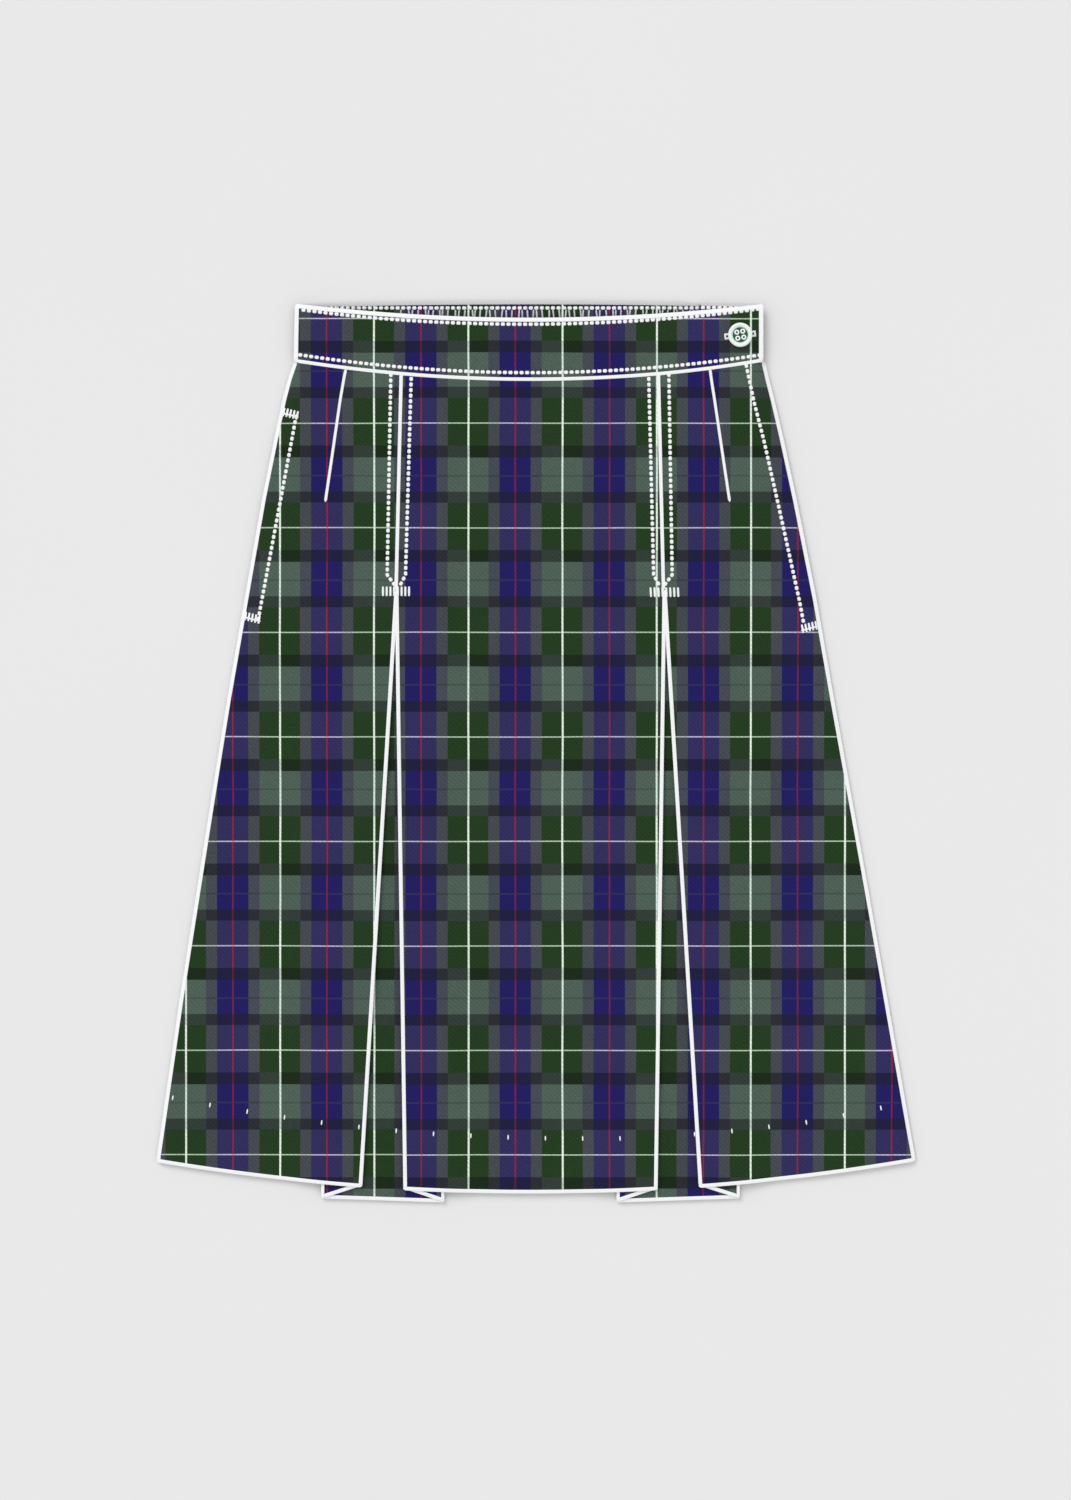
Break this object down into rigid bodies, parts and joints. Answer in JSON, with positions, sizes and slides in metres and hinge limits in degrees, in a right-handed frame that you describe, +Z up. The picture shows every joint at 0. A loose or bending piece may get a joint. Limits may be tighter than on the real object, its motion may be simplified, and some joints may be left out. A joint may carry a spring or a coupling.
{
  "type": "tartan skirt",
  "caption": "Knee-length A-line tartan skirt laid flat, with inverted front pleats, a curved waistband with a button, and an elasticated back waist.",
  "frame": {"origin": "middle of the footprint, on the surface that the skirt lies on", "axes": "+Z up out of the surface, through the back and then the front; +Y from hem to waist; +X towards the wearer's left side, where the button is"},
  "size_m": [0.521, 0.6196, 0.0102],
  "materials": {
    "tartan_cloth": "matte twill",
    "pocket_cloth": "matte plain weave",
    "button_plastic": "polished",
    "thread": "spun polyester"
  },
  "bodies": {
    "root": {"back_panel": "tartan_cloth", "front_centre_panel": "tartan_cloth", "front_side_panel_left": "tartan_cloth", "front_side_panel_right": "tartan_cloth", "pleat_underlay_left": "tartan_cloth", "pleat_underlay_right": "tartan_cloth", "pocket_bag_left": "pocket_cloth", "pocket_bag_right": "pocket_cloth", "waistband_front": "tartan_cloth", "waistband_back": "tartan_cloth", "button": "button_plastic"}
  },
  "joints": []
}
